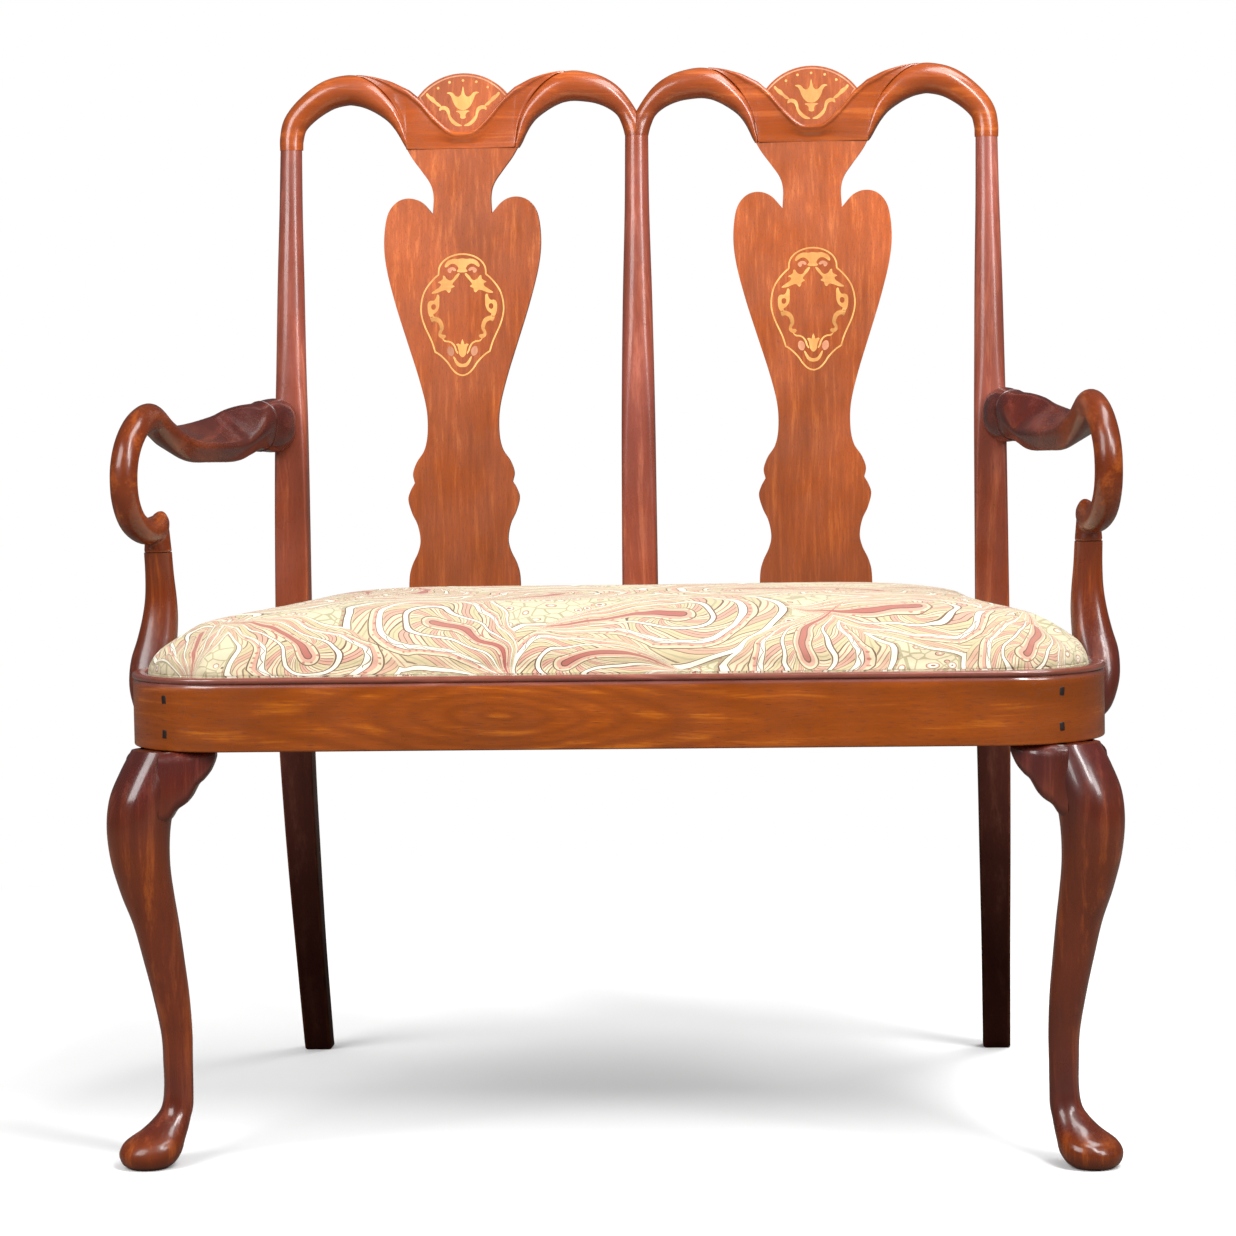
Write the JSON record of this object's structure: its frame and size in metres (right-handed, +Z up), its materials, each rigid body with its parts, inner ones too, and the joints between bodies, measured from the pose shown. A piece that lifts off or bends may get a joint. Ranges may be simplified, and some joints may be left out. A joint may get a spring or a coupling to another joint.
{
  "type": "double chair-back settee",
  "caption": "Open-armed hardwood settee with a double chair back, vase splats, crook arms, cabriole front legs and a lift-out stuffed seat.",
  "frame": {"origin": "on the floor, under the middle of the whole settee's bounding box", "axes": "+X towards the sitter's left, seen on the right in a front view; the front faces -Y; +Z is up"},
  "size_m": [0.9272, 0.6161, 1.021],
  "materials": {
    "mahogany": "satin-gloss, deep red-brown",
    "rail_wood": "satin-gloss, orange-brown figured",
    "splat_wood": "satin-gloss, light orange-brown with satinwood inlay",
    "dark_wood": "satin-gloss, near black-brown",
    "beech": "bare, dull",
    "peg_wood": "dark end grain",
    "screw_steel": "dulled",
    "webbing": "coarse jute",
    "cambric": "matt black",
    "paisley_cloth": "matt woven, cream, sage and rose paisley"
  },
  "bodies": {
    "frame": {"front_rail": "rail_wood", "rail_peg_upper_left": "peg_wood", "rail_peg_upper_right": "peg_wood", "rail_peg_lower_left": "peg_wood", "rail_peg_lower_right": "peg_wood", "back_rail": "dark_wood", "centre_stile": "mahogany", "side_rail_left": "rail_wood", "rear_post_left": "dark_wood", "crest_left": "rail_wood", "crest_fan_left": "splat_wood", "splat_left": "splat_wood", "splat_shoe_left": "dark_wood", "arm_left": "mahogany", "arm_dowel_left": "beech", "arm_screw_left": "screw_steel", "arm_support_left": "mahogany", "support_screw_upper_left": "screw_steel", "support_screw_lower_left": "screw_steel", "front_leg_left": "mahogany", "knee_bracket_front_left": "mahogany", "knee_bracket_side_left": "mahogany", "corner_block_front_left": "beech", "corner_block_rear_left": "beech", "side_rail_right": "rail_wood", "rear_post_right": "dark_wood", "crest_right": "rail_wood", "crest_fan_right": "splat_wood", "splat_right": "splat_wood", "splat_shoe_right": "dark_wood", "arm_right": "mahogany", "arm_dowel_right": "beech", "arm_screw_right": "screw_steel", "arm_support_right": "mahogany", "support_screw_upper_right": "screw_steel", "support_screw_lower_right": "screw_steel", "front_leg_right": "mahogany", "knee_bracket_front_right": "mahogany", "knee_bracket_side_right": "mahogany", "corner_block_front_right": "beech", "corner_block_rear_right": "beech"},
    "slip_seat": {"seat_cushion": "paisley_cloth", "seat_webbing": "webbing", "dust_cloth": "cambric", "slip_front_member": "beech", "slip_back_member": "beech", "slip_centre_bar": "beech", "slip_side_member_left": "beech", "slip_side_member_right": "beech"}
  },
  "joints": [
    {"name": "seat_lift", "type": "slide", "parent": "frame", "child": "slip_seat", "axis": [0, 0, 1], "range_m": [0, 0.08]}
  ]
}
